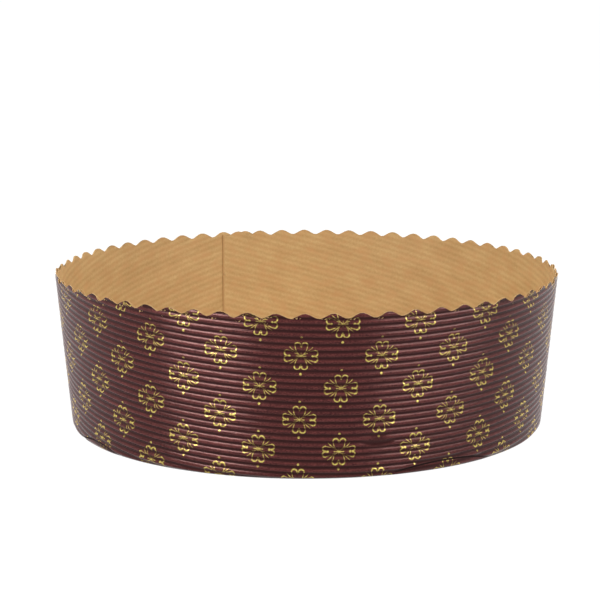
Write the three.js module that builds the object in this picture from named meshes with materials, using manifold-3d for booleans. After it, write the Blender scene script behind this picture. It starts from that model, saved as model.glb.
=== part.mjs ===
// A low round panettone mold of single-face corrugated paper, in millimetres, +Z up.
// The wall is one blank, an arc-shaped strip die-cut from board whose flutes run straight.
// Rolled into a cone, the flutes stay level at the middle of the blank and climb towards its
// two ends, so they meet in a chevron at the glued lap. The foot is turned in and pleated,
// and a paperboard disc is glued onto the turned-in hem.
import * as THREE from "three";
import { mergeVertices } from "three/addons/utils/BufferGeometryUtils.js";
import Module from "manifold-3d";

const wasm = await Module();
wasm.setup();

// Driving dimensions, in millimetres and degrees
const rimDiameter = 210; // over the ribs at the rim
const height = 65; // from the table to the tips of the scalloped edge
const flare = 6; // how far the rim stands out past the foot, all round
const ribPitch = 2.54; // from flute to flute, on the flat board
const ribHeight = 0.7; // flute height over the liner
const ribCrest = 1.1; // width of a flute's rounded top, drawn as a flat
const ribStart = 2.44; // first valley below the rim, on the blank's centre line
const linerThickness = 0.25;
const centreLine = 17.15; // where the blank's middle stands, in degrees round from the front
const lapLength = 14; // glued overlap of the blank's two ends, measured at the rim
const lapBite = 0.1; // how far the glued ribs are crushed into the layer over them
const scallopPitch = 10.74; // along the rim
const scallopDepth = 1.75;
const scallopFlat = 2.4; // width left level at each tip and at each valley
const dentTurn = -1.6; // a small crushed patch near the foot, in degrees from the blank's middle
const dentHeight = 14;
const dentLength = 13;
const dentWidth = 5;
const dentDepth = 0.4;
const footRadius = 2; // outside radius where the wall turns in
const creaseHeight = 2.6; // the ribs end here, at the fold
const hemWidth = 11; // board turned in under the disc
const hemThickness = 0.55; // board pressed flat
const pleatPitch = 17; // from tuck to tuck, round the foot
const pleatWidth = 1.5; // a tuck's groove at the hem's inner edge
const pleatDepth = 0.3;
const discThickness = 0.6;
const discClearance = 0.4; // between the disc's edge and the fold's inner bend
const discSides = 36;
const ventSides = 8;
const ventDiameter = 4;
const ventCircle = 110;
const ventCount = 6;
const wallSteps = 36; // facets round one full turn

const radians = THREE.MathUtils.degToRad;
const rimRadius = rimDiameter / 2;
const boardThickness = linerThickness + ribHeight;
const slant = Math.hypot(height, flare);
const lean = Math.atan2(flare, height);
const apexDistance = (rimRadius * slant) / flare; // from the rim down the slope to the cone's tip
const lapAngle = lapLength / rimRadius;
const halfBlank = Math.PI + lapAngle / 2; // from the blank's middle to either end
const wallStep = (2 * Math.PI) / wallSteps;

// A closed surface as a solid that can be joined and cut, and back again.
function solidOf(geometry) {
  const bare = geometry.clone();
  bare.deleteAttribute("normal");
  bare.deleteAttribute("uv");
  const merged = mergeVertices(bare, 1e-4);
  return new wasm.Manifold(
    new wasm.Mesh({
      numProp: 3,
      vertProperties: new Float32Array(merged.attributes.position.array),
      triVerts: new Uint32Array(merged.index.array),
    }),
  );
}

const difference = (solids) => wasm.Manifold.difference(solids);

function geometryOf(solid) {
  const mesh = solid.getMesh();
  const geometry = new THREE.BufferGeometry();
  geometry.setAttribute("position", new THREE.BufferAttribute(mesh.vertProperties, 3));
  geometry.setIndex(new THREE.BufferAttribute(mesh.triVerts, 1));
  const flat = geometry.toNonIndexed();
  flat.computeVertexNormals();
  return flat;
}

// Radius of the wall at a height, at a distance outwards from the tops of the ribs.
function wallRadius(z, out) {
  return rimRadius - ((height - z) * flare) / height + out / Math.cos(lean);
}

// A point of the rolled blank: turn is the angle from its middle, down the way from the rim
// along the slope, and out the distance outwards from the tops of the ribs.
function wallPoint(turn, down, out) {
  const radius = rimRadius - down * Math.sin(lean) + out * Math.cos(lean);
  const angle = radians(centreLine) + turn;
  const z = height - down * Math.cos(lean) - out * Math.sin(lean);
  return new THREE.Vector3(radius * Math.sin(angle), -radius * Math.cos(angle), z);
}

// How far down the slope a straight flute lies at a turn, when it is flatY below the rim
// on the blank's centre line.
function flutePath(turn, flatY) {
  return apexDistance - (apexDistance - flatY) / Math.cos(turn * Math.sin(lean));
}

// The blank's inner end steps in behind the outer end, and is level again at the lap.
function lapStep(turn) {
  const start = halfBlank - lapAngle - 2 * wallStep;
  const share = THREE.MathUtils.smoothstep(turn, start, halfBlank - lapAngle);
  return -share * (boardThickness - lapBite);
}

// The corrugated section on the flat board, from above the rim to below the foot of the
// blank's ends, where the flutes lie lowest.
function fluteProfile() {
  const drop = apexDistance * (1 - Math.cos(halfBlank * Math.sin(lean)));
  const first = -2;
  const last = Math.ceil((slant + drop - ribStart) / ribPitch) + 1;
  const profile = [];
  for (let rib = first; rib < last; rib++) {
    const valley = ribStart + rib * ribPitch;
    profile.push([valley, -ribHeight]);
    profile.push([valley + (ribPitch - ribCrest) / 2, 0]);
    profile.push([valley + (ribPitch + ribCrest) / 2, 0]);
  }
  return profile;
}

// A body through closed outlines of equal length, with flat ends.
function loft(outlines, endOutline) {
  const size = outlines[0].length;
  const positions = outlines.flat().flatMap((p) => [p.x, p.y, p.z]);
  const faces = [];
  for (let ring = 0; ring + 1 < outlines.length; ring++) {
    for (let i = 0; i < size; i++) {
      const a = ring * size + i;
      const b = ring * size + ((i + 1) % size);
      faces.push(a, b + size, b, a, a + size, b + size);
    }
  }
  const last = (outlines.length - 1) * size;
  for (const [a, b, c] of THREE.ShapeUtils.triangulateShape(endOutline, [])) {
    faces.push(a, b, c);
    faces.push(last + a, last + c, last + b);
  }
  const geometry = new THREE.BufferGeometry();
  geometry.setAttribute("position", new THREE.Float32BufferAttribute(positions, 3));
  geometry.setIndex(faces);
  return geometry;
}

// Part of the rolled board, still too tall, through a list of turns.
function rolledBoard(turns) {
  const profile = fluteProfile();
  const top = profile[0][0];
  const bottom = profile[profile.length - 1][0];
  const section = [[top, -boardThickness], [bottom, -boardThickness], ...profile.reverse()];
  const outlines = turns.map((turn) =>
    section.map(([flatY, out]) => wallPoint(turn, flutePath(turn, flatY), out + lapStep(turn))),
  );
  const flat = section.map(([flatY, out]) => new THREE.Vector2(flatY, out));
  return solidOf(loft(outlines, flat));
}

// A ring of the given closed outline of [radius, z] points.
function ring(outline) {
  const points = [...outline, outline[0]].map(([r, z]) => new THREE.Vector2(r, z));
  const start = radians(centreLine) - halfBlank;
  return solidOf(new THREE.LatheGeometry(points, wallSteps, start).rotateX(Math.PI / 2));
}

// One valley of the scalloped edge, to be cut out at a turn from the blank's middle.
function scallopCutter(turn) {
  const reach = 4 * boardThickness;
  const above = scallopDepth;
  const tipEdge = (scallopPitch - scallopFlat) / 2;
  const valleyEdge = scallopFlat / 2;
  const outline = new THREE.Shape();
  outline.moveTo(-tipEdge, above);
  outline.lineTo(-tipEdge, 0);
  outline.lineTo(-valleyEdge, -scallopDepth);
  outline.lineTo(valleyEdge, -scallopDepth);
  outline.lineTo(tipEdge, 0);
  outline.lineTo(tipEdge, above);
  const angle = radians(centreLine) + turn;
  const place = new THREE.Matrix4().makeBasis(
    new THREE.Vector3(Math.cos(angle), Math.sin(angle), 0),
    new THREE.Vector3(0, 0, 1),
    new THREE.Vector3(Math.sin(angle), -Math.cos(angle), 0),
  );
  place.setPosition(wallPoint(turn, 0, -reach));
  const cutter = new THREE.ExtrudeGeometry(outline, { depth: 1.5 * reach, bevelEnabled: false });
  return solidOf(cutter.applyMatrix4(place));
}

// Where the valleys of the scalloped edge lie, as turns from the blank's middle.
function scallopTurns() {
  const pitch = scallopPitch / rimRadius;
  const start = pitch / 2; // the blank's middle is a tip
  const first = Math.ceil((-halfBlank - pitch / 2 - start) / pitch);
  const last = Math.floor((halfBlank + pitch / 2 - start) / pitch);
  return Array.from({ length: last - first + 1 }, (_, k) => start + (first + k) * pitch);
}

// The flutes are pressed flat in one small oval patch low on the front.
function dentCutter() {
  const outline = new THREE.Shape();
  outline.absellipse(0, 0, dentLength / 2, dentWidth / 2, 0, 2 * Math.PI);
  const depth = 2 * boardThickness;
  const shape = new THREE.ExtrudeGeometry(outline, { depth, bevelEnabled: false, curveSegments: 4 });
  const angle = radians(centreLine + dentTurn);
  const along = new THREE.Vector3(Math.cos(angle), Math.sin(angle), 0);
  const radial = new THREE.Vector3(Math.sin(angle), -Math.cos(angle), 0);
  const outwards = radial.multiplyScalar(Math.cos(lean)).setZ(-Math.sin(lean));
  const place = new THREE.Matrix4().makeBasis(along, outwards.clone().cross(along), outwards);
  const down = (height - dentHeight) / Math.cos(lean);
  place.setPosition(wallPoint(radians(dentTurn), down, -dentDepth));
  return solidOf(shape.applyMatrix4(place));
}

// The blank rolled into a ring, cut level at the rim and at the fold, and scalloped. Each
// end of the lap is scalloped by itself, so that the two layers stay out of step there.
function scallopedBoard() {
  const stations = Array.from({ length: wallSteps + 1 }, (_, i) => -halfBlank + i * wallStep);
  const middle = wallSteps / 2;
  const outerStations = stations.slice(0, middle + 1);
  const innerStations = [...stations.slice(middle), halfBlank];
  const free = 2 * Math.PI - halfBlank - scallopPitch / 2 / rimRadius;
  const turns = scallopTurns();
  const cuts = (keep) => turns.filter(keep).map(scallopCutter);
  const outer = difference([rolledBoard(outerStations), ...cuts((turn) => turn < -free)]);
  const inner = difference([rolledBoard(innerStations), ...cuts((turn) => turn > free)]);
  const room = 3 * boardThickness;
  const trim = ring([
    [wallRadius(creaseHeight, -room), creaseHeight],
    [wallRadius(creaseHeight, room), creaseHeight],
    [wallRadius(height, room), height],
    [wallRadius(height, -room), height],
  ]);
  const level = outer.add(inner).intersect(trim);
  return difference([level, ...cuts((turn) => Math.abs(turn) <= free), dentCutter()]);
}

// The turned-in foot: a short lip inside the board, the round fold and the flat hem.
const hemOut = -ribHeight / 2;
const foldCentre = wallRadius(footRadius, hemOut - footRadius);
const hemInner = foldCentre - hemWidth;

function hem() {
  const lipTop = creaseHeight + hemThickness;
  const arc = (radius, angles) =>
    angles.map((a) => [foldCentre + radius * Math.cos(a), footRadius + radius * Math.sin(a)]);
  const sweep = [0, 0.5, 1].map((t) => -lean - t * (Math.PI / 2 - lean));
  const inner = [1, 0].map((t) => -lean - t * (Math.PI / 2 - lean));
  const body = ring([
    [wallRadius(lipTop, hemOut), lipTop],
    [wallRadius(lipTop, hemOut - hemThickness), lipTop],
    ...arc(footRadius - hemThickness, [...inner].reverse()),
    [hemInner, hemThickness],
    [hemInner, 0],
    ...arc(footRadius, [...sweep].reverse()),
  ]);
  return body;
}

// The tucks of the hem, which show below as shallow grooves that widen inwards.
function pleatCutter(angle) {
  const half = pleatWidth / 2;
  const outer = foldCentre;
  const inner = hemInner - 1;
  const reach = outer - inner;
  const points = [
    [outer, 0, 0],
    [inner, -half, -pleatDepth],
    [inner, half, -pleatDepth],
    [inner, 0, pleatDepth],
  ];
  const geometry = new THREE.BufferGeometry();
  geometry.setAttribute("position", new THREE.Float32BufferAttribute(points.flat(), 3));
  geometry.setIndex([0, 1, 2, 0, 3, 1, 0, 2, 3, 1, 3, 2]);
  return solidOf(geometry.rotateZ(angle));
}

function pleatedHem() {
  const count = Math.round((2 * Math.PI * foldCentre) / pleatPitch);
  const tucks = Array.from({ length: count }, (_, k) => ((k + 0.5) * 2 * Math.PI) / count);
  return difference([hem(), ...tucks.map(pleatCutter)]);
}

function wallGeometry() {
  return geometryOf(scallopedBoard().add(pleatedHem()));
}

function circle(radius, sides, x = 0, y = 0) {
  return Array.from({ length: sides }, (_, i) => {
    const angle = (i * 2 * Math.PI) / sides;
    return new THREE.Vector2(x + radius * Math.cos(angle), y + radius * Math.sin(angle));
  });
}

// The glued bottom, resting on the hem, with its vents.
function discGeometry() {
  const radius = foldCentre * Math.cos(Math.PI / wallSteps) - discClearance;
  const outline = new THREE.Shape(circle(radius, discSides));
  for (let k = 0; k < ventCount; k++) {
    const angle = (k * 2 * Math.PI) / ventCount;
    const x = (ventCircle / 2) * Math.cos(angle);
    const y = (ventCircle / 2) * Math.sin(angle);
    outline.holes.push(new THREE.Path(circle(ventDiameter / 2, ventSides, x, y).reverse()));
  }
  return new THREE.ExtrudeGeometry(outline, { depth: discThickness, bevelEnabled: false });
}

function piece(name, geometry, color, roughness) {
  const mesh = new THREE.Mesh(
    geometry,
    new THREE.MeshStandardMaterial({ color, roughness, metalness: 0 }),
  );
  mesh.name = name;
  return mesh;
}

const mold = new THREE.Group();
mold.add(piece("corrugated_wall", wallGeometry(), 0x5a3232, 0.55));
const disc = piece("base_disc", discGeometry(), 0xc49a64, 0.85);
disc.position.z = hemThickness;
mold.add(disc);

export default mold;
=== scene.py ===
# The panettone mold of printed single-face board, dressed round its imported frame.
import math

import bmesh
import bpy
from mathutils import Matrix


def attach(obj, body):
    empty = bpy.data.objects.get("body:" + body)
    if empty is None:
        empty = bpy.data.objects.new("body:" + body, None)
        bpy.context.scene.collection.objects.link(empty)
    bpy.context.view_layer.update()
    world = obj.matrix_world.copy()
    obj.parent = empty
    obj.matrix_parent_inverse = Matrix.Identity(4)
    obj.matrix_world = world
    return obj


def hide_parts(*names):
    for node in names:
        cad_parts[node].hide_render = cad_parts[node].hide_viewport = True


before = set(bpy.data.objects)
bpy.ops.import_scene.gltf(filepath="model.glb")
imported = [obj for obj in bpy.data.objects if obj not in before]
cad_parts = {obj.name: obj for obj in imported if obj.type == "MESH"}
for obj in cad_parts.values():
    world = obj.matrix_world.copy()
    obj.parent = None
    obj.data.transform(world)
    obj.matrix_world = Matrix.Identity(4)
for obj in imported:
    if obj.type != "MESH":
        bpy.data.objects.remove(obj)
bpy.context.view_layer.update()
print("frame loaded")

mm = 0.001
fineMerge = 0.02 * mm
white = (1.0, 1.0, 1.0, 1.0)

# the die-cut strip of board and the cone that it is rolled into, in millimetres and radians
blank = {
    "Rim Radius": 105.0,
    "Height": 65.0,
    "Flare": 6.0,
    "Centre Line": math.radians(17.15),
    "Half Blank": math.pi + 14.0 / 105.0 / 2,
    "Flute Pitch": 2.54,
    "Flute Start": -0.1,
    "Flute Height": 0.7,
    "Paper": 0.2,
    "Board": 0.95,
    "Scallop Pitch": 10.7,
    "Scallop Depth": 2.05,
    "Scallop Shape": 0.8,
    "Scallop Ragged": 0.2,
    "Fold Radius": 2.0,
    "Hem Out": -0.35,
    "Wobble": 0.9,
    "Wobble Scale": 1.6,
    "Lap Crush": 0.55,
    "Lap Sink": 0.16,
    "Lap Gap": 0.03,
    "Lap Step": 0.11,
    "End Zone": 0.14,
    "End Pull": math.radians(1.3),
    "End Slant": math.radians(0.02),
}

creaseRise = 0.9
creases = [  # folds low on the wall: degrees from the front, half their width, height
    (32.5, 16.0, 3.9),
    (-58.5, 10.5, 3.0),
]


class Wire:
    # a socket that takes + - * / and the like, each one a Math node
    def __init__(self, bench, socket):
        self.bench, self.socket = bench, socket

    def __add__(self, other):
        return self.bench.math("ADD", self, other)

    __radd__ = __add__

    def __sub__(self, other):
        return self.bench.math("SUBTRACT", self, other)

    def __rsub__(self, other):
        return self.bench.math("SUBTRACT", other, self)

    def __mul__(self, other):
        return self.bench.math("MULTIPLY", self, other)

    __rmul__ = __mul__

    def __truediv__(self, other):
        return self.bench.math("DIVIDE", self, other)

    def __pow__(self, other):
        return self.bench.math("POWER", self, other)

    def __neg__(self):
        return self.bench.math("MULTIPLY", self, -1.0)

    def __abs__(self):
        return self.bench.math("ABSOLUTE", self)

    def __gt__(self, other):
        return self.bench.math("GREATER_THAN", self, other)

    def __lt__(self, other):
        return self.bench.math("LESS_THAN", self, other)


class Bench:
    # a node tree being built
    def __init__(self, tree):
        self.tree = tree
        tree.nodes.clear()

    def plug(self, value, socket):
        if isinstance(value, Wire):
            self.tree.links.new(value.socket, socket)
        else:
            socket.default_value = value

    def node(self, kind, settings=None, sockets=None, out=0):
        made = self.tree.nodes.new(kind)
        for name, value in (settings or {}).items():
            setattr(made, name, value)
        for key, value in (sockets or {}).items():
            self.plug(value, made.inputs[key])
        return Wire(self, made.outputs[out]) if len(made.outputs) else made

    def math(self, operation, *values):
        return self.node("ShaderNodeMath", {"operation": operation}, dict(enumerate(values)))

    def smooth(self, value, low, high):
        # 0 at low, 1 at high, easing in and out
        return self.node(
            "ShaderNodeMapRange",
            {"interpolation_type": "SMOOTHSTEP"},
            {"Value": value, "From Min": low, "From Max": high},
        )

    def ramp(self, value, low, high):
        # 0 at low, 1 at high, straight between them and held beyond
        return self.node(
            "ShaderNodeMapRange", None, {"Value": value, "From Min": low, "From Max": high}
        )

    def mix(self, low, high, share):
        return low + (high - low) * share

    def vector(self, x, y, z):
        return self.node("ShaderNodeCombineXYZ", None, {0: x, 1: y, 2: z})

    def split(self, vector):
        parts = self.node("ShaderNodeSeparateXYZ", None, {0: vector})
        return [Wire(self, socket) for socket in parts.socket.node.outputs]

    def noise(self, vector, scale, detail=2.0, roughness=0.5):
        return self.node(
            "ShaderNodeTexNoise",
            {"noise_dimensions": "3D"},
            {"Vector": vector, "Scale": scale, "Detail": detail, "Roughness": roughness},
        )

    def blend(self, low, high, share):
        # a colour between two colours
        return self.node("ShaderNodeMix", {"data_type": "RGBA"}, {0: share, 6: low, 7: high}, 2)

    def rays(self):
        # whether a ray comes from the camera, from a gloss and through something clear
        outputs = self.node("ShaderNodeLightPath").socket.node.outputs
        names = ("Is Camera Ray", "Is Glossy Ray", "Is Transmission Ray")
        return [Wire(self, outputs[name]) for name in names]


def sine(x):
    return x.bench.math("SINE", x)


def cosine(x):
    return x.bench.math("COSINE", x)


def root(x):
    return x.bench.math("SQRT", x)


def least(x, *others):
    for other in others:
        x = x.bench.math("MINIMUM", x, other)
    return x


def most(x, *others):
    for other in others:
        x = x.bench.math("MAXIMUM", x, other)
    return x


def creaseAt(around, crease):
    # how far out from a crease's middle a point is, and how high the crease runs there
    degrees, halfWidth, height = crease
    share = abs(around - math.radians(degrees)) * (180 / math.pi / halfWidth)
    return share, (1.0 - least(share * share, 1.0)) * height


def linear(red, green, blue):
    # a screen colour, 0 to 255, as the numbers that a shader takes
    def one(c):
        c /= 255
        return c / 12.92 if c <= 0.04045 else ((c + 0.055) / 1.055) ** 2.4

    return (one(red), one(green), one(blue), 1.0)


def placed(name, data):
    # an object in the scene
    made = bpy.data.objects.new(name, data)
    bpy.context.scene.collection.objects.link(made)
    return made


# Materials

ornament = {  # a quarter of the ornament, in its own millimetres, mirrored both ways
    "strokes": [  # from, to, half width
        ((1.05, 0.75), (1.95, 2.1), 0.07),
        ((1.95, 2.1), (2.5, 4.1), 0.13),
        ((1.3, 0.75), (2.5, 1.1), 0.07),
        ((3.1, 1.6), (5.3, 2.3), 0.13),
        ((4.5, 0.0), (6.0, 0.1), 0.1),
        ((2.3, 1.7), (4.4, 3.5), 0.1),
        ((2.9, 2.2), (3.6, 2.8), 0.13),
        ((0.0, 0.0), (1.9, 0.0), 0.13),
        ((0.0, 0.0), (2.5, 1.9), 0.1),
        ((0.0, 0.0), (0.0, 1.2), 0.07),
    ],
    "spots": [  # centre, radius
        ((0.0, 3.75), 0.32),
        ((4.5, 0.0), 0.47),
        ((0.0, 0.0), 0.38),
    ],
    "dot": ((0.0, 7.35), 0.47),
    "uprightLobe": (1.4, 4.3),
    "uprightFrom": 4.1,
    "levelLobe": (5.35, 1.2),
    "levelFrom": 5.2,
    "lobeRadius": 1.1,
    "lobeLine": 0.25,
}

printing = {  # the print and its varnish, in millimetres on the flat blank
    "columnPitch": 30.6,
    "rowPitch": 12.5,
    "firstRow": 4.2,
    "firstColumn": -17.75,
    "motifScale": 1.04,
    "softEdge": 0.09,
    "maroon": linear(99, 49, 47),
    "maroonDeep": linear(48, 21, 22),
    # painted shade: the dark colour painted into the flute valleys, where shade falls
    "valley": linear(42, 18, 18),
    "valleyFades": (0.05, 0.95),
    # painted shadow: the near-black colour painted along the crease lines above the foot
    "crease": linear(16, 7, 7),
    "creaseLine": (0.55, 0.2),
    "creaseEnds": (0.98, 0.7),
    "gold": linear(220, 202, 108),
    "goldDeep": linear(150, 128, 62),
    "goldShade": linear(84, 64, 36),
    "goldFades": (0.0, 0.9),
    "toneRange": (0.92, 1.38),
    "wornRange": (0.35, 0.6),
    "gloss": 0.26,
    "sheen": linear(255, 196, 190),
    "rough": 0.1,
    "scratchRough": 0.2,
    "goldRough": 0.2,
    "creaseRough": 0.8,
    "goldMetal": 0.35,
    "bump": 0.6,
    "bumpDepth": 0.06 * mm,
}

kraft = {
    "light": linear(187, 155, 104),
    "deep": linear(163, 128, 78),
    "rosy": linear(179, 134, 85),
    "seamShadow": linear(164, 126, 78),
    "seamShadowFades": (-1.6, -0.4),
    "washboardShade": 0.09,
    "toneRange": (0.42, 0.88),
    "rosyRange": (0.42, 0.72),
    "rosyShare": 0.6,
    "rough": 0.62,
    "fibreRough": 0.15,
    "bump": 0.15,
    "bumpDepth": 0.08 * mm,
    "discFibres": 900.0,
    "discClouds": 40.0,
    "discTone": (0.35, 0.85),
}

mottles = {  # noise on the flat blank: scale along the flutes and across, seed, detail, roughness
    "streaks": (0.02, 0.5, 0.0, 3.0, 0.5),
    "grain": (0.35, 1.1, 3.0, 4.0, 0.6),
    "worn": (1.4, 2.0, 7.0, 2.0, 0.5),
    "scratches": (1.1, 3.0, 5.0, 3.0, 0.7),
    "fibres": (0.9, 0.9, 1.0, 5.0, 0.65),
    "clouds": (0.07, 0.12, 5.0, 2.0, 0.5),
    "patches": (0.16, 0.3, 9.0, 3.0, 0.5),
}


def mottle(bench, flatX, flatY, kind):
    along, across, seed, detail, roughness = mottles[kind]
    return bench.noise(bench.vector(flatX * along, flatY * across, seed), 1.0, detail, roughness)


def toStroke(bench, x, y, start, end):
    # distance from a straight stroke between two points
    (ax, ay), (bx, by) = start, end
    dx, dy = bx - ax, by - ay
    fromX, fromY = x - ax, y - ay
    along = (fromX * dx + fromY * dy) / (dx * dx + dy * dy)
    along = least(most(along, 0.0), 1.0)
    offX, offY = fromX - along * dx, fromY - along * dy
    return root(offX * offX + offY * offY)


def toPoint(x, y, centre):
    dx, dy = x - centre[0], y - centre[1]
    return root(dx * dx + dy * dy)


def quatrefoil(bench, x, y):
    # how far a point is inside the nearest line of four open hearts with rays between them
    o = ornament
    inside = [half - toStroke(bench, x, y, start, end) for start, end, half in o["strokes"]]
    for centre, radius in o["spots"] + [o["dot"]]:
        inside.append(radius - toPoint(x, y, centre))
    lobes = [
        (o["uprightLobe"], y - o["uprightFrom"]),
        (o["levelLobe"], x - o["levelFrom"]),
    ]
    for centre, past in lobes:
        ring = o["lobeLine"] - abs(toPoint(x, y, centre) - o["lobeRadius"])
        inside.append(least(ring, past))
    return most(*inside)


def printMask(bench, flatX, flatY):
    # 1 on the gold, 0 on the ground
    p = printing
    row = bench.math("ROUND", (flatY - p["firstRow"]) / p["rowPitch"])
    shifted = bench.math("FLOORED_MODULO", row, 2.0)

    def toColumn(shift):
        start = shift * (p["columnPitch"] / 2) + p["firstColumn"]
        column = bench.math("ROUND", (flatX - start) / p["columnPitch"])
        return abs(flatX - start - column * p["columnPitch"]) * p["motifScale"]

    toRow = abs(flatY - p["firstRow"] - row * p["rowPitch"])
    motif = quatrefoil(bench, toColumn(shifted), toRow * p["motifScale"])
    # the dots of the rows above and below reach into this row's band
    centre, radius = ornament["dot"]
    toNextRow = (p["rowPitch"] - toRow) * p["motifScale"]
    dot = radius - toPoint(toColumn(1.0 - shifted), toNextRow, centre)
    return bench.ramp(most(motif, dot), -p["softEdge"], p["softEdge"])


def creaseShadowLines(bench, flatX, flatY):
    # 1 on the sharp fold lines above the foot, which are painted dark as the crease's shadow,
    # from where a point lies on the flat blank
    b, p = blank, printing
    lean = math.atan2(b["Flare"], b["Height"])
    apex, fold = b["Rim Radius"] / math.sin(lean), b["Fold Radius"]
    straight = b["Height"] + (fold - b["Hem Out"]) * math.sin(lean) - fold
    foldEnd = straight / math.cos(lean) + fold * (math.pi / 2 - lean)
    toApex = apex - flatY
    down = apex - root(flatX * flatX + toApex * toApex)
    around = bench.math("ARCTAN2", flatX, toApex) / math.sin(lean) + b["Centre Line"]
    lines = []
    for crease in creases:
        share, lift = creaseAt(around, crease)
        gap = abs(down - (foldEnd - creaseRise - lift))
        line, ends = bench.smooth(gap, *p["creaseLine"]), bench.smooth(share, *p["creaseEnds"])
        lines.append(line * ends)
    return most(*lines)


def shaderBench(name):
    material = bpy.data.materials.new(name)
    material.use_nodes = True
    return material, Bench(material.node_tree)


def finishMaterial(bench, sockets):
    surface = bench.node("ShaderNodeBsdfPrincipled", None, sockets)
    bench.node("ShaderNodeOutputMaterial", None, {"Surface": surface})


def flatPlace(bench):
    # where a point lies on the flat blank, and its height on the flute from 0 to 1
    return bench.split(bench.node("ShaderNodeAttribute", {"attribute_name": "blank"}, None, 1))


def bumpOf(bench, look, height):
    sockets = {"Strength": look["bump"], "Distance": look["bumpDepth"], "Height": height}
    return bench.node("ShaderNodeBump", None, sockets)


def finishKraft(bench, colour, fibres):
    roughness = kraft["rough"] + fibres * kraft["fibreRough"]
    sockets = {"Base Color": colour, "Roughness": roughness}
    finishMaterial(bench, {**sockets, "Normal": bumpOf(bench, kraft, fibres)})


def printedMaterial():
    material, bench = shaderBench("printed_paper")
    p = printing
    flatX, flatY, shade = flatPlace(bench)
    streaks, grain, worn, scratches = [
        mottle(bench, flatX, flatY, kind) for kind in ("streaks", "grain", "worn", "scratches")
    ]
    tone = bench.ramp(streaks * 0.5 + grain * 0.6 + scratches * 1.2, *p["toneRange"])
    ground = bench.blend(p["maroonDeep"], p["maroon"], tone)
    # painted shade: the ground darkens towards the flute valleys, where shade falls
    ground = bench.blend(p["valley"], ground, bench.smooth(shade, *p["valleyFades"]))
    gold = bench.blend(p["goldDeep"], p["gold"], bench.ramp(worn, *p["wornRange"]))
    gold = bench.blend(p["goldShade"], gold, bench.smooth(shade, *p["goldFades"]))
    mask = printMask(bench, flatX, flatY)
    # painted shadow: the crease lines are painted dark, and the gold is left out of them
    fold = creaseShadowLines(bench, flatX, flatY)
    colour = bench.blend(bench.blend(ground, gold, mask), p["crease"], fold)
    mask = mask * (1.0 - fold)
    varnish = p["rough"] + scratches * p["scratchRough"]
    roughness = bench.mix(bench.mix(varnish, p["goldRough"], mask), p["creaseRough"], fold)
    finishMaterial(
        bench,
        {
            "Base Color": colour,
            "Roughness": roughness,
            "Metallic": mask * p["goldMetal"],
            "Specular IOR Level": p["gloss"],
            "Specular Tint": p["sheen"],
            "Normal": bumpOf(bench, p, grain * 0.5 + scratches),
        },
    )
    return material


def kraftMaterial():
    material, bench = shaderBench("bare_kraft")
    k = kraft
    flatX, flatY, shade = flatPlace(bench)
    fibres, clouds, patches = [
        mottle(bench, flatX, flatY, kind) for kind in ("fibres", "clouds", "patches")
    ]
    # painted shade: faint bands along the flutes behind the liner, darker and lighter as light
    # falls on the liner's washboard
    flute = (flatY - blank["Flute Start"]) * (2 * math.pi / blank["Flute Pitch"])
    board = cosine(flute) * k["washboardShade"]
    tone = bench.ramp(fibres * 0.7 + clouds * 0.6 + board, *k["toneRange"])
    colour = bench.blend(k["deep"], k["light"], tone)
    rosy = bench.ramp(patches, *k["rosyRange"]) * k["rosyShare"]
    colour = bench.blend(colour, k["rosy"], rosy)
    # painted shadow: the kraft darkens along the outer end of the strip, as the shadow line at
    # the lap
    colour = bench.blend(k["seamShadow"], colour, bench.smooth(shade, *k["seamShadowFades"]))
    finishKraft(bench, colour, fibres)
    return material


def discMaterial():
    material, bench = shaderBench("disc_kraft")
    k = kraft
    place = bench.node("ShaderNodeTexCoord", None, None, 3)
    fibres = bench.noise(place, k["discFibres"], 5.0, 0.65)
    clouds = bench.noise(place, k["discClouds"], 2.0)
    tone = bench.ramp(fibres * 0.6 + clouds * 0.6, *k["discTone"])
    finishKraft(bench, bench.blend(k["deep"], k["light"], tone), fibres)
    return material


printedPaper = printedMaterial()
bareKraft = kraftMaterial()
discKraft = discMaterial()
print("materials made")


# The rolled sheets

def newTree(name, sizes):
    tree = bpy.data.node_groups.new(name, "GeometryNodeTree")
    tree.interface.new_socket("Geometry", in_out="OUTPUT", socket_type="NodeSocketGeometry")
    bench = Bench(tree)
    for label, value in sizes.items():
        kind = "NodeSocketInt" if isinstance(value, int) else "NodeSocketFloat"
        tree.interface.new_socket(label, in_out="INPUT", socket_type=kind)
    entry = tree.nodes.new("NodeGroupInput")
    return bench, {label: Wire(bench, entry.outputs[label]) for label in sizes}


def madeBy(bench, name, sizes):
    # runs a node tree and keeps its result as a plain mesh
    base = placed(name + "_base", bpy.data.meshes.new(name + "_base"))
    modifier = base.modifiers.new("make", "NODES")
    modifier.node_group = bench.tree
    for item in bench.tree.interface.items_tree:
        if item.in_out == "INPUT":
            modifier[item.identifier] = sizes[item.name]
    graph = bpy.context.evaluated_depsgraph_get()
    graph.update()
    mesh = bpy.data.meshes.new_from_object(base.evaluated_get(graph))
    mesh.name = name
    bpy.data.objects.remove(base)
    return placed(name, mesh)


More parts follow.
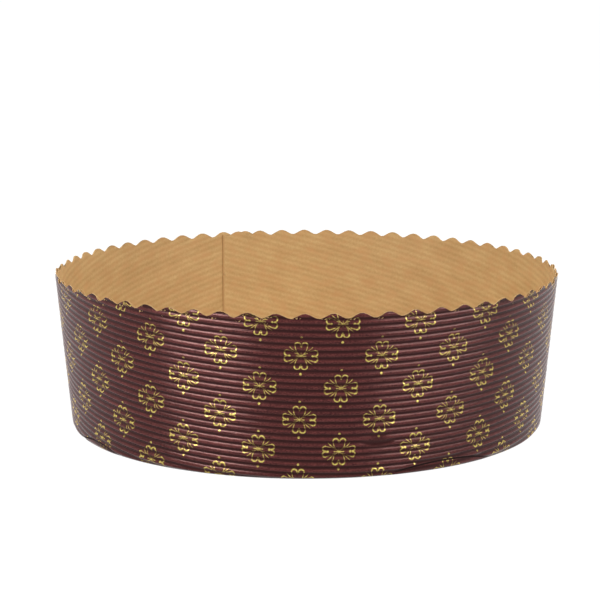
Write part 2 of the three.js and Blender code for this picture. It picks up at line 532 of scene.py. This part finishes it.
def closeEnds(mesh, slot):
    # zips up each thin open end, from its highest point down both of its sides
    left = dict.fromkeys(edge for edge in mesh.edges if edge.is_boundary)
    while left:
        edge = next(iter(left))
        del left[edge]
        loop = list(edge.verts)
        while True:
            onward = [e for e in loop[-1].link_edges if e in left]
            if not onward:
                break
            del left[onward[0]]
            loop.append(onward[0].other_vert(loop[-1]))
        loop = loop[:-1] if loop[-1] is loop[0] else loop
        top = max(range(len(loop)), key=lambda k: loop[k].co.z)
        loop = loop[top:] + loop[:top]
        near, far = 1, len(loop) - 1
        mesh.faces.new((loop[0], loop[near], loop[far])).material_index = slot
        while far - near > 1:
            nearStep = (loop[near + 1].co - loop[far].co).length
            farStep = (loop[near].co - loop[far - 1].co).length
            if nearStep < farStep:
                corners = (loop[near], loop[near + 1], loop[far])
                near += 1
            else:
                corners = (loop[near], loop[far - 1], loop[far])
                far -= 1
            mesh.faces.new(corners).material_index = slot


def closed(piece, sharp=70):
    # fills open ends, turns all faces outwards and shades smoothly between sharp edges
    mesh = bmesh.new()
    mesh.from_mesh(piece.data)
    closeEnds(mesh, len(piece.data.materials) - 1)
    bmesh.ops.recalc_face_normals(mesh, faces=mesh.faces)
    for face in mesh.faces:
        face.smooth = True
    limit = math.radians(sharp)
    for edge in mesh.edges:
        if len(edge.link_faces) == 2:
            edge.smooth = edge.calc_face_angle(0.0) < limit
    mesh.to_mesh(piece.data)
    mesh.free()
    print(piece.name, len(piece.data.polygons), "faces")
    return piece


class Cone:
    # the maths of the rolled blank, shared by every sheet
    def __init__(self, bench, size):
        self.bench, self.size = bench, size
        self.lean = bench.math("ARCTAN2", size["Flare"], size["Height"])
        self.sinLean, self.cosLean = sine(self.lean), cosine(self.lean)
        self.apex = size["Rim Radius"] / self.sinLean
        fold, hemOut = size["Fold Radius"], size["Hem Out"]
        self.straightEnd = (
            size["Height"] - hemOut * self.sinLean - fold + fold * self.sinLean
        ) / self.cosLean
        self.bend = fold * (math.pi / 2 - self.lean)
        self.foldEnd = self.straightEnd + self.bend
        self.foldCentre = (
            size["Rim Radius"] - self.straightEnd * self.sinLean + (hemOut - fold) * self.cosLean
        )

    def section(self, down, out):
        # radius and height of a point on the wall, round the fold or on the hem
        size = self.size
        past = down - self.straightEnd
        rounded = least(most(past, 0.0), self.bend)
        angle = -self.lean - rounded / size["Fold Radius"]
        extra = past - rounded
        reach = out + size["Fold Radius"] - size["Hem Out"]
        radius = self.foldCentre + reach * cosine(angle) + extra * sine(angle)
        z = size["Fold Radius"] + reach * sine(angle) - extra * cosine(angle)
        return radius, z

    def flat(self, turn, down):
        # where a point lies on the flat blank
        phi = turn * self.sinLean
        toApex = self.apex - down
        return toApex * sine(phi), self.apex - toApex * cosine(phi)

    def place(self, turn, down, out):
        # where a point of the sheet stands, the cone a little out of round
        bench, size = self.bench, self.size
        angle = size["Centre Line"] + turn
        radius, z = self.section(down, out)
        drift = bench.vector(cosine(angle), sine(angle), z * 0.004)
        wobble = bench.noise(drift, size["Wobble Scale"], 1.0)
        radius = radius + (wobble - 0.5) * size["Wobble"]
        return bench.vector(
            radius * sine(angle) * mm, radius * cosine(angle) * -mm, z * mm
        )

    def scallop(self, turn):
        # how far the cut edge lies below the rim
        size = self.size
        arc = turn * size["Rim Radius"]
        phase = arc * (2 * math.pi) / size["Scallop Pitch"]
        wave = 1.0 - (0.5 + cosine(phase) * 0.5) ** size["Scallop Shape"]
        uneven = self.bench.noise(self.bench.vector(arc * 0.11, 0.0, 0.0), 1.0, 2.0)
        ragged = size["Scallop Ragged"]
        return size["Scallop Depth"] * wave * (uneven * ragged + 0.95) + (uneven - 0.5) * ragged

    def lapStep(self, turn):
        # the strip's inner end steps in behind its outer end
        start = 2 * math.pi - self.size["Half Blank"]
        return self.bench.smooth(turn, start - self.size["Lap Step"], start - 0.005)


def sheetGrid(bench, columns, rows):
    # a flat grid that becomes a sheet: how far across each point is, -0.5 to 0.5, and its row
    sockets = {"Size X": 1.0, "Size Y": 1.0, "Vertices X": columns, "Vertices Y": rows}
    grid = bench.node("GeometryNodeMeshGrid", None, sockets)
    across, along, _ = bench.split(bench.node("GeometryNodeInputPosition"))
    return grid, across, (along + 0.5) * (rows - 1.0)


def rollUp(bench, grid, flat, papers, behind, place):
    # keeps where the points lie on the flat blank, gives both faces their paper and rolls up
    facing, backing = papers
    kept = bench.node(
        "GeometryNodeStoreNamedAttribute",
        {"data_type": "FLOAT_VECTOR", "domain": "POINT"},
        {"Geometry": grid, "Name": "blank", "Value": flat},
    )
    front = bench.node("GeometryNodeSetMaterial", None, {"Geometry": kept, "Material": facing})
    both = bench.node(
        "GeometryNodeSetMaterial",
        None,
        {"Geometry": front, "Selection": behind, "Material": backing},
    )
    moved = bench.node("GeometryNodeSetPosition", None, {"Geometry": both, "Position": place})
    merged = bench.node(
        "GeometryNodeMergeByDistance", None, {"Geometry": moved, "Distance": fineMerge}
    )
    bench.node("NodeGroupOutput", None, {"Geometry": merged})


crushed = {  # the dent in the flutes at the lower front, in millimetres on the wall
    "turn": math.radians(-1.6),
    "fromRim": 51.2,
    "across": 6.5,
    "down": 2.3,
    "fades": (1.3, 0.2),
    "push": 0.7,
    "flatter": 0.55,
}

foot = {  # how the flutes run out into the fold, and the bulge and groove of a crease
    "runOutFrom": 0.2,
    "runOutTo": 0.8,
    "bulge": 0.1,
    "bulgeRises": (-0.3, 1.4),
    "bulgeEnds": (1.0, 0.75),
    "bulgeStops": (0.2, 1.6),
    "groove": -0.8,
    "grooveFades": (1.0, 0.0),
}


def foldedFace(cone, down, around, face):
    # the sheet's face with the flutes run out at the foot and the creases pressed in
    bench, size, f = cone.bench, cone.size, foot
    runOut = bench.smooth(down, cone.straightEnd - f["runOutFrom"], cone.foldEnd - f["runOutTo"])
    face = bench.mix(face, size["Fold Out"], runOut)
    last, first = [cone.foldEnd - stop for stop in f["bulgeStops"]]
    for crease in creases:
        share, lift = creaseAt(around, crease)
        gap = down - (cone.foldEnd - creaseRise - lift)
        here = bench.smooth(share, *f["bulgeEnds"])
        bulge = bench.smooth(gap, *f["bulgeRises"]) * bench.smooth(down, last, first)
        face = bench.mix(face, size["Fold Out"] + size["Bulge"] * f["bulge"], bulge * here)
        groove = bench.smooth(abs(gap), *f["grooveFades"]) * here * size["Bulge"]
        face = bench.mix(face, f["groove"], groove)
    return face


def rolledSheet(name, sizes, facing, backing):
    # One sheet of the rolled blank as a closed shell. Its detailed face has rows that run
    # along the flutes and are cut off at the scallops, its plain face has level rows.
    sizes = {**blank, **sizes}
    bench, size = newTree(name, sizes)
    cone = Cone(bench, size)
    detail, nearRim = size["Detail Rows"], size["Rim Zone"]
    rows = detail + size["Plain Rows"] + 1.0
    grid, across, row = sheetGrid(bench, size["Columns"], rows)
    bottom = cone.foldEnd + size["Run On"]
    rowY = size["First Row"] + row * size["Row Step"]
    back = 1.0 - least((row - detail) / (size["Plain Rows"] - 1.0), 1.0)
    past = row > detail - 0.5
    plain = past * (row < rows - 1.5)

    def rowDown(turn):
        # the cut edge, and how far down the wall the row runs
        edge = cone.scallop(turn)
        flute = cone.apex - (cone.apex - rowY) / cosine(turn * cone.sinLean)
        level = (
            edge
            + nearRim * least(back * 2.0, 1.0)
            + (bottom - edge - nearRim) * most(back * 2.0 - 1.0, 0.0)
        )
        return edge, bench.mix(least(most(flute, edge), bottom), level, past)

    turn = across * 2.0 * size["Half Blank"]
    edge, down = rowDown(turn)
    # the end inside the lap is cut a little off square
    pull = bench.ramp(turn, size["Half Blank"] - size["End Zone"], size["Half Blank"])
    turn = turn + pull * (size["End Pull"] + down * size["End Slant"])
    edge, down = rowDown(turn)
    flatX, flatY = cone.flat(turn, down)

    # the flutes: round crests and narrow valleys, pushed down and together at the dent
    c = crushed
    nearX = (turn - c["turn"]) * size["Rim Radius"] / c["across"]
    nearY = (down - c["fromRim"]) / c["down"]
    dent = bench.smooth(nearX * nearX + nearY * nearY, *c["fades"])
    lie = flatY - size["Flute Start"] - dent * c["push"]
    wave = abs(cosine(lie * math.pi / size["Flute Pitch"]))
    uneven = bench.noise(bench.vector(flatX * 0.05, flatY / size["Flute Pitch"], 0.0), 1.0, 1.0)
    lapped = cone.lapStep(turn)
    crest = (1.0 - wave ** size["Sharpness"]) * (0.9 + uneven * 0.2)
    crest = crest * (1.0 - lapped * size["Lap Crush"]) * (1.0 - dent * c["flatter"])
    # below 0 only along the outer end, where the lap's edge shows; the kraft is painted darker
    # there as a shadow line
    shade = crest - bench.ramp(across, 0.498, 0.5) * 2.0
    face = size["Face Out"] - size["Wave"] + crest * size["Wave"]
    face = foldedFace(cone, down, turn + size["Centre Line"], face)

    # the sheet's other side, which follows the flutes near the rim, and the lap's step
    nearTop = bench.smooth(down - edge, nearRim * 0.9, nearRim * 0.5)
    paperBack = most(face - size["Paper"], size["Back Out"])
    behind = bench.mix(size["Back Out"], paperBack, nearTop * size["Follow"])
    step = size["Board"] + size["Lap Gap"] - size["Flute Height"] * size["Lap Crush"]
    glued = bench.smooth(turn, size["Half Blank"] - 0.03, size["Half Blank"] + 0.01)
    out = bench.mix(face, behind, plain) - lapped * step + glued * size["Lap Sink"]
    flat = bench.vector(flatX, flatY, shade)
    rollUp(bench, grid, flat, (facing, backing), row > detail - 1.0, cone.place(turn, down, out))
    return closed(madeBy(bench, name, sizes))


flutedSheet = {
    "Columns": 500,
    "Detail Rows": 290,
    "Plain Rows": 20,
    "First Row": -3.0,
    "Row Step": blank["Flute Pitch"] / 6,
    "Rim Zone": 4.0,
    "Run On": 0.0,
    "Sharpness": 2.3,
    "Face Out": 0.0,
    "Wave": 0.7,
    "Fold Out": -0.35,
    "Bulge": 1.0,
    "Back Out": -0.8,
    "Follow": 1.0,
}
flutedWall = rolledSheet("fluted_wall", flutedSheet, printedPaper, bareKraft)

linerSheet = {
    "Columns": 500,
    "Detail Rows": 196,
    "Plain Rows": 8,
    "First Row": -3.0,
    "Row Step": blank["Flute Pitch"] / 4,
    "Rim Zone": 4.0,
    "Run On": 0.5,
    "Sharpness": 2.0,
    "Face Out": -0.95,
    "Wave": -0.04,
    "Fold Out": -0.95,
    "Bulge": 0.0,
    "Back Out": -0.8,
    "Follow": 0.0,
}
kraftLiner = rolledSheet("kraft_liner", linerSheet, bareKraft, bareKraft)
print("wall made")


# The turned-in hem, gathered in tucks

hemRing = {
    "Columns": 433,
    "Rows": 12,
    "Hem Width": 11.0,
    "Thick": 0.45,
    "Tucks": 36.0,
    "Tuck Lift": 0.4,
    "Tuck Slant": 0.12,
    "Tuck Rise": 0.85,
    "Tuck Drop": 0.08,
}


def pleatedHem():
    sizes = {**blank, **hemRing}
    bench, size = newTree("pleated_hem", sizes)
    cone = Cone(bench, size)
    rows = size["Rows"] * 2.0 + 1.0
    grid, across, row = sheetGrid(bench, size["Columns"], rows)
    turn = across * (2 * math.pi)
    past = row > size["Rows"] - 0.5
    top = past * (row < rows - 1.5)
    under = row / (size["Rows"] - 1.0)
    over = 1.0 - least((row - size["Rows"]) / (size["Rows"] - 1.0), 1.0)
    share = bench.mix(under, over, past)
    down = cone.foldEnd + share * size["Hem Width"]
    # each tuck rises slowly and drops back at once
    turns = (turn / (2 * math.pi) + 0.5) * size["Tucks"]
    tuck = bench.math("FRACT", turns + share * size["Tuck Slant"])
    tooth = least(tuck / size["Tuck Rise"], (1.0 - tuck) / size["Tuck Drop"])
    lift = tooth * size["Tuck Lift"] * share
    out = size["Hem Out"] - bench.mix(lift, size["Thick"], top)
    flatX, flatY = cone.flat(turn, down)
    flat = bench.vector(flatX, flatY, 1.0)
    papers, behind = (printedPaper, bareKraft), row > size["Rows"] - 1.0
    rollUp(bench, grid, flat, papers, behind, cone.place(turn, down, out))
    return closed(madeBy(bench, "pleated_hem", sizes))


hem = pleatedHem()


# The glued bottom

bottomDisc = {
    "radius": 96.0,
    "low": 0.56,
    "high": 1.15,
    "sides": 160,
    "ventCircle": 55.0,
    "ventRadius": 2.0,
    "vents": 6,
    "ventSides": 24,
    "sharp": 40,
}


def baseDisc():
    d = bottomDisc
    curve = bpy.data.curves.new("disc_outline", "CURVE")
    curve.dimensions, curve.fill_mode = "2D", "BOTH"
    curve.extrude = (d["high"] - d["low"]) / 2 * mm
    circles = [(0.0, 0.0, d["radius"], d["sides"])]
    for k in range(d["vents"]):
        angle = 2 * math.pi * k / d["vents"]
        x, y = d["ventCircle"] * math.cos(angle), d["ventCircle"] * math.sin(angle)
        circles.append((x, y, d["ventRadius"], d["ventSides"]))
    for x, y, radius, sides in circles:
        spline = curve.splines.new("POLY")
        spline.points.add(sides - 1)
        spline.use_cyclic_u = True
        for i, point in enumerate(spline.points):
            a = 2 * math.pi * i / sides
            point.co = ((x + radius * math.cos(a)) * mm, (y + radius * math.sin(a)) * mm, 0, 1)
    outline = placed("disc_outline", curve)
    graph = bpy.context.evaluated_depsgraph_get()
    mesh = bpy.data.meshes.new_from_object(outline.evaluated_get(graph))
    bpy.data.objects.remove(outline)
    solid = bmesh.new()
    solid.from_mesh(mesh)
    bmesh.ops.remove_doubles(solid, verts=solid.verts, dist=fineMerge)
    for vertex in solid.verts:
        vertex.co.z += (d["high"] + d["low"]) / 2 * mm
    solid.to_mesh(mesh)
    solid.free()
    mesh.materials.clear()
    mesh.materials.append(discKraft)
    return closed(placed("kraft_disc", mesh), d["sharp"])


disc = baseDisc()
print("foot and bottom made")

for piece in (flutedWall, kraftLiner, hem):
    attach(piece, "root")
    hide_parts("corrugated_wall")
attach(disc, "root")
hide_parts("base_disc")


# Floor, light and camera

studio = {
    "floorHalf": 12.0,
    "floorGrey": (0.5, 0.5, 0.5, 1.0),
    "floorShow": 0.92,
    "floorGlow": 1.09,
    "worldFront": 0.05,
    "worldBack": 0.6,
    "worldSide": 0.6,
    "worldTurns": (-0.6, 0.5),
    "whiteAbove": (0.0, 0.5),
    "cameraPlace": (0.0, -0.8168, 0.20305),
    "cameraPitch": 10.567,
    "lens": 118.12,
    "sensor": 36.0,
    "shiftX": -0.01102,
}

lampTarget = (0.0, 0.0, 0.03)
lamps = [  # name, place, width, height, watts
    ("key", (-0.8, -0.8, 0.82), 0.72, 0.14, 16.0),
    ("top", (0.35, 0.05, 1.25), 0.6, 0.6, 7.0),
    ("fill", (0.92, -0.5, 0.7), 1.0, 0.14, 9.0),
]


def paleFloor():
    # white to the eye and in a gloss, a mid grey to the light that falls on the part
    half = studio["floorHalf"]
    mesh = bpy.data.meshes.new("floor")
    corners = [(-half, -half, 0), (half, -half, 0), (half, half, 0), (-half, half, 0)]
    mesh.from_pydata(corners, [], [(0, 1, 2, 3)])
    floor = placed("floor", mesh)
    material, bench = shaderBench("floor_white")
    lit = bench.node("ShaderNodeBsdfDiffuse", None, {"Color": studio["floorGrey"]})
    glow = {"Color": white, "Strength": studio["floorGlow"]}
    plain = bench.node("ShaderNodeEmission", None, glow)
    share = most(*bench.rays()) * studio["floorShow"]
    both = bench.node("ShaderNodeMixShader", None, {0: share, 1: lit, 2: plain})
    bench.node("ShaderNodeOutputMaterial", None, {"Surface": both})
    mesh.materials.append(material)


def softLamps():
    for name, place, width, height, watts in lamps:
        light = bpy.data.lights.new(name, "AREA")
        light.shape, light.size, light.size_y, light.energy = "RECTANGLE", width, height, watts
        lamp = placed(name, light)
        lamp.location = place
        aim = lamp.location.copy()
        aim.x, aim.y, aim.z = (to - at for to, at in zip(lampTarget, place))
        lamp.rotation_euler = aim.to_track_quat("-Z", "Y").to_euler()


def paleWorld():
    # white to the eye, and in a gloss from above; dim in front, brighter behind and beside
    s = studio
    world = bpy.data.worlds.new("studio")
    world.use_nodes = True
    bench = Bench(world.node_tree)
    eye, gloss, clear = bench.rays()
    side, depth, height = bench.split(bench.node("ShaderNodeTexCoord"))
    seen = most(eye, clear, gloss * bench.smooth(height, *s["whiteAbove"]))
    around = bench.mix(s["worldFront"], s["worldBack"], bench.smooth(depth, *s["worldTurns"]))
    around = around + side * side * s["worldSide"]
    strength = bench.mix(around, 1.0, seen)
    sky = bench.node("ShaderNodeBackground", None, {"Color": white, "Strength": strength})
    bench.node("ShaderNodeOutputWorld", None, {"Surface": sky})
    bpy.context.scene.world = world


def camera():
    lens = bpy.data.cameras.new("camera")
    lens.lens, lens.sensor_width = studio["lens"], studio["sensor"]
    lens.shift_x = studio["shiftX"]
    lens.clip_start, lens.clip_end = 0.01, 100.0
    eye = placed("camera", lens)
    eye.location = studio["cameraPlace"]
    eye.rotation_euler = (math.radians(90 - studio["cameraPitch"]), 0.0, 0.0)
    bpy.context.scene.camera = eye


paleFloor()
softLamps()
paleWorld()
camera()
bpy.context.scene.view_settings.view_transform = "Standard"
print("studio made")
